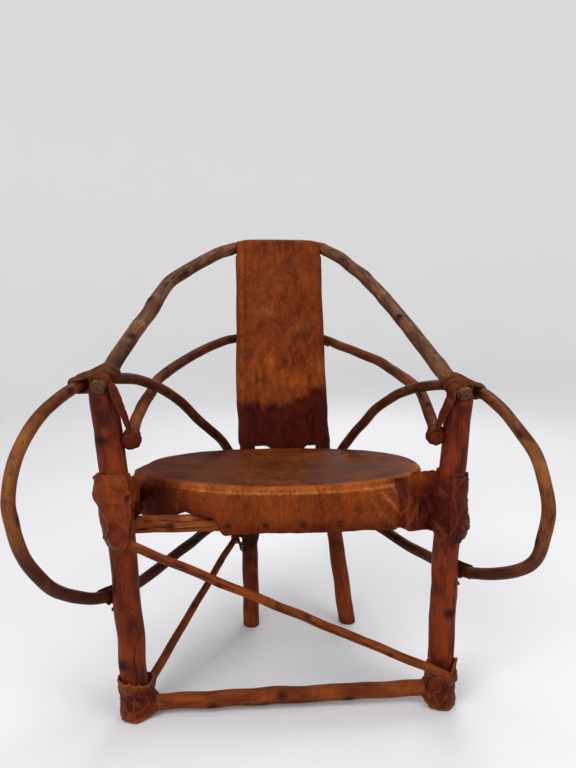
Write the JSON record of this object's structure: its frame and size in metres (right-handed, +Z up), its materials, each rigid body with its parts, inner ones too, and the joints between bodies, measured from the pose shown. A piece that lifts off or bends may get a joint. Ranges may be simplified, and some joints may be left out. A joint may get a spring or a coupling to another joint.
{
  "type": "lashed stick birthing chair",
  "caption": "Low three-sided chair of bent and straight sticks, lashed with hide thongs, with a stretched hide seat, a hide back sleeve and looped arms.",
  "frame": {"origin": "centre of the part's box in plan, on the floor", "axes": "+Z up, +Y towards the back of the chair, +X towards a sitter's left hand (to the right when seen from the front)"},
  "size_m": [0.6461, 0.502, 0.699],
  "materials": {
    "post_wood": "reddish brown barked stick, worn and slightly polished by use",
    "pole_wood": "reddish brown barked stick, dull",
    "crest_wood": "grey-brown peeled stick with light knot bands",
    "bow_wood": "golden brown peeled stick, worn",
    "hoop_wood": "golden brown peeled withe with dark specks, satin",
    "rail_wood": "brown peeled stick, dull",
    "brace_wood": "orange-brown peeled stick, satin",
    "peg_wood": "dark whittled peg",
    "hide": "hard sun-dried hide, worn bright at the edges, dark maroon near the ties",
    "cuff_hide": "hard dark rawhide, wrinkled",
    "thong": "dark narrow hide thong, wound tight"
  },
  "bodies": {
    "root": {"front_post_left": "post_wood", "front_post_right": "post_wood", "rear_pole_left": "pole_wood", "rear_pole_right": "pole_wood", "crest_bow": "crest_wood", "middle_bow": "bow_wood", "arm_hoop_left": "hoop_wood", "arm_hoop_right": "hoop_wood", "front_seat_rail": "rail_wood", "rear_seat_rail": "rail_wood", "seat_rim_hoop": "hoop_wood", "seat_stick_1": "rail_wood", "seat_stick_2": "rail_wood", "seat_stick_3": "rail_wood", "seat_stick_4": "rail_wood", "foot_stretcher": "brace_wood", "long_brace": "brace_wood", "short_brace": "brace_wood", "seat_hide": "hide", "hide_pegs": "peg_wood", "back_panel": "hide", "back_lacing": "thong", "post_cuff_left": "cuff_hide", "post_cuff_right": "cuff_hide", "foot_cuff_left": "cuff_hide", "foot_cuff_right": "cuff_hide", "crest_binding_left": "thong", "crest_binding_right": "thong", "sling_strap_left": "cuff_hide", "sling_strap_right": "cuff_hide", "hoop_tie_left": "thong", "hoop_tie_right": "thong", "hoop_heel_tie_left": "thong", "hoop_heel_tie_right": "thong", "rear_lashing_left": "thong", "rear_lashing_right": "thong", "bow_tie_left": "thong", "bow_tie_right": "thong", "brace_tie": "thong"}
  },
  "joints": []
}
